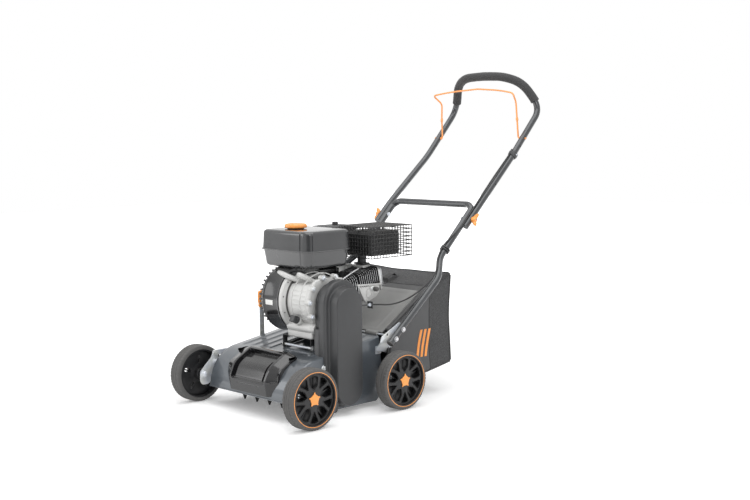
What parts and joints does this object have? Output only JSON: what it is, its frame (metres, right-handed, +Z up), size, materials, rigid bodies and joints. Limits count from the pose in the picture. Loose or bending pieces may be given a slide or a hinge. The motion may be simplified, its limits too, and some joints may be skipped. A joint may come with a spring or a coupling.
{
  "type": "petrol lawn scarifier",
  "caption": "Walk-behind petrol lawn scarifier: ribbed steel deck over a blade rotor, belt drive under a round-ended cover, folding handle with bail, rear flap and grass bag.",
  "frame": {"origin": "on the ground, in the middle of the whole machine's box", "axes": "+Z up, -Y to the machine's front, +X to the operator's left where the belt cover is"},
  "size_m": [0.597, 1.2308, 1.0555],
  "materials": {
    "tyre_rubber": "matt tread",
    "wheel_plastic": "satin",
    "orange_plastic": "satin",
    "deck_paint": "satin",
    "gloss_black_plastic": "gloss",
    "satin_black_plastic": "satin",
    "black_paint": "gloss",
    "handle_paint": "gloss",
    "orange_wire": "gloss",
    "zinc_plate": "bright zinc",
    "bright_steel": "ground",
    "cast_aluminium": "as cast",
    "heat_paint": "matt heat-resistant",
    "belt_rubber": "matt",
    "foam_rubber": "matt foam",
    "cable_sheath": "satin",
    "bag_cloth": "woven",
    "flap_plastic": "satin"
  },
  "bodies": {
    "chassis": {"deck_housing": "deck_paint", "front_hood": "gloss_black_plastic", "rear_axle": "zinc_plate", "rotor_bearing_left": "cast_aluminium", "rotor_bearing_right": "cast_aluminium", "drive_belt": "belt_rubber", "belt_cover": "satin_black_plastic", "engine_bracket": "black_paint", "crankcase": "cast_aluminium", "crankcase_cover": "cast_aluminium", "blower_housing": "gloss_black_plastic", "recoil_cover": "satin_black_plastic", "cylinder_block": "heat_paint", "cylinder_head": "cast_aluminium", "rocker_cover": "cast_aluminium", "spark_plug": "zinc_plate", "muffler": "heat_paint", "muffler_guard": "black_paint", "fuel_tank": "gloss_black_plastic", "tank_bracket": "cast_aluminium", "air_cleaner": "satin_black_plastic", "carburettor": "cast_aluminium", "lower_handle": "handle_paint", "handle_bracket_left": "zinc_plate", "handle_bracket_right": "zinc_plate", "clutch_cable_lower": "cable_sheath", "flap_hinge_rod": "zinc_plate"},
    "height_lever": {"depth_lever": "zinc_plate"},
    "height_link": {"depth_link": "zinc_plate"},
    "front_axle_arms": {"front_axle": "zinc_plate"},
    "wheel_front_left": {"tyre_front_left": "tyre_rubber", "rim_front_left": "wheel_plastic"},
    "wheel_front_right": {"tyre_front_right": "tyre_rubber", "rim_front_right": "wheel_plastic"},
    "wheel_rear_left": {"tyre_rear_left": "tyre_rubber", "rim_rear_left": "wheel_plastic"},
    "wheel_rear_right": {"tyre_rear_right": "tyre_rubber", "rim_rear_right": "wheel_plastic"},
    "crank_train": {"crankshaft": "bright_steel", "flywheel": "cast_aluminium", "drive_pulley": "zinc_plate"},
    "rotor": {"blade_rotor": "bright_steel", "rotor_pulley": "zinc_plate"},
    "tensioner": {"tensioner_arm": "zinc_plate"},
    "idler": {"idler_pulley": "wheel_plastic"},
    "folding_handle": {"upper_handle": "handle_paint", "foam_grip": "foam_rubber", "clutch_cable_upper": "cable_sheath"},
    "bail": {"bail_lever": "orange_wire"},
    "knob_left": {"clamp_knob_left": "orange_plastic"},
    "knob_right": {"clamp_knob_right": "orange_plastic"},
    "flap": {"rear_flap": "flap_plastic"},
    "bag": {"grass_bag": "bag_cloth", "bag_frame": "black_paint"},
    "tank_cap": {"fuel_cap": "orange_plastic"},
    "oil_cap": {"oil_plug": "satin_black_plastic"},
    "choke": {"choke_lever": "satin_black_plastic"},
    "throttle": {"throttle_lever": "satin_black_plastic"},
    "switch": {"engine_switch": "satin_black_plastic"},
    "starter_grip": {"recoil_grip": "satin_black_plastic"}
  },
  "joints": [
    {"name": "height_lever_turn", "type": "hinge", "parent": "chassis", "child": "height_lever", "pos_m": [-0.2205, -0.30438, 0.125], "axis": [1, 0, 0], "range_deg": [-10, 6]},
    {"name": "height_link_turn", "type": "hinge", "parent": "height_lever", "child": "height_link", "pos_m": [-0.2325, -0.30438, 0.155], "axis": [1, 0, 0], "range_deg": [-6, 10]},
    {"name": "front_axle_swing", "type": "hinge", "parent": "chassis", "child": "front_axle_arms", "pos_m": [0, -0.48037, 0.125], "axis": [1, 0, 0], "range_deg": [-10, 6]},
    {"name": "wheel_front_left_spin", "type": "hinge", "parent": "front_axle_arms", "child": "wheel_front_left", "pos_m": [0.276, -0.52538, 0.09], "axis": [1, 0, 0], "continuous": true},
    {"name": "wheel_front_right_spin", "type": "hinge", "parent": "front_axle_arms", "child": "wheel_front_right", "pos_m": [-0.276, -0.52538, 0.09], "axis": [1, 0, 0], "continuous": true},
    {"name": "wheel_rear_left_spin", "type": "hinge", "parent": "chassis", "child": "wheel_rear_left", "pos_m": [0.276, -0.15837, 0.09], "axis": [1, 0, 0], "continuous": true},
    {"name": "wheel_rear_right_spin", "type": "hinge", "parent": "chassis", "child": "wheel_rear_right", "pos_m": [-0.276, -0.15837, 0.09], "axis": [1, 0, 0], "continuous": true},
    {"name": "crank_spin", "type": "hinge", "parent": "chassis", "child": "crank_train", "pos_m": [0, -0.32538, 0.335], "axis": [1, 0, 0], "continuous": true},
    {"name": "rotor_spin", "type": "hinge", "parent": "chassis", "child": "rotor", "pos_m": [0, -0.32538, 0.078], "axis": [1, 0, 0], "continuous": true},
    {"name": "tensioner_turn", "type": "hinge", "parent": "chassis", "child": "tensioner", "pos_m": [0.1965, -0.32538, 0.15], "axis": [1, 0, 0], "range_deg": [-5, 0]},
    {"name": "idler_spin", "type": "hinge", "parent": "tensioner", "child": "idler", "pos_m": [0.208, -0.31188, 0.215], "axis": [1, 0, 0], "continuous": true},
    {"name": "handle_fold", "type": "hinge", "parent": "chassis", "child": "folding_handle", "pos_m": [0, 0.23663, 0.55807], "axis": [1, 0, 0], "range_deg": [0, 108], "deforming": ["clutch_cable_lower", "clutch_cable_upper"]},
    {"name": "bail_squeeze", "type": "hinge", "parent": "folding_handle", "child": "bail", "pos_m": [0, 0.51963, 0.8208], "axis": [1, 0, 0], "range_deg": [-22, 0], "stiffness_Nm_per_rad": 1.5, "springref_deg": 11.46},
    {"name": "knob_left_turn", "type": "hinge", "parent": "folding_handle", "child": "knob_left", "pos_m": [0.2197, 0.23663, 0.55807], "axis": [1, 0, 0], "continuous": true},
    {"name": "knob_right_turn", "type": "hinge", "parent": "folding_handle", "child": "knob_right", "pos_m": [-0.2197, 0.23663, 0.55807], "axis": [1, 0, 0], "continuous": true},
    {"name": "flap_lift", "type": "hinge", "parent": "chassis", "child": "flap", "pos_m": [0, -0.16037, 0.222], "axis": [1, 0, 0], "range_deg": [0, 14]},
    {"name": "bag_off", "type": "slide", "parent": "chassis", "child": "bag", "axis": [0, 1, 0], "range_m": [0, 0.35]},
    {"name": "fuel_cap_turn", "type": "hinge", "parent": "chassis", "child": "tank_cap", "pos_m": [-0.03, -0.31338, 0.5533], "axis": [0, 0, 1], "range_deg": [0, 90]},
    {"name": "oil_plug_turn", "type": "hinge", "parent": "chassis", "child": "oil_cap", "pos_m": [0.08, -0.35537, 0.262], "axis": [0, -0.9239, 0.3827], "continuous": true},
    {"name": "choke_turn", "type": "hinge", "parent": "chassis", "child": "choke", "pos_m": [-0.0483, -0.13337, 0.416], "axis": [1, 0, 0], "range_deg": [0, 35]},
    {"name": "throttle_turn", "type": "hinge", "parent": "chassis", "child": "throttle", "pos_m": [-0.0483, -0.10938, 0.402], "axis": [1, 0, 0], "range_deg": [-20, 20]},
    {"name": "switch_turn", "type": "hinge", "parent": "chassis", "child": "switch", "pos_m": [-0.052, -0.20738, 0.372], "axis": [1, 0, 0], "range_deg": [0, 60]},
    {"name": "starter_pull", "type": "slide", "parent": "chassis", "child": "starter_grip", "axis": [0, 0.9976, 0.0698], "range_m": [0, 0.15], "stiffness_N_per_m": 60, "springref_m": -0.05}
  ],
  "couplings": [
    {"joint": "front_axle_swing", "follows": "height_lever_turn", "ratio": 1},
    {"joint": "height_link_turn", "follows": "height_lever_turn", "ratio": -1},
    {"joint": "rotor_spin", "follows": "crank_spin", "ratio": 0.7407},
    {"joint": "tensioner_turn", "follows": "bail_squeeze", "ratio": 0.22727}
  ]
}
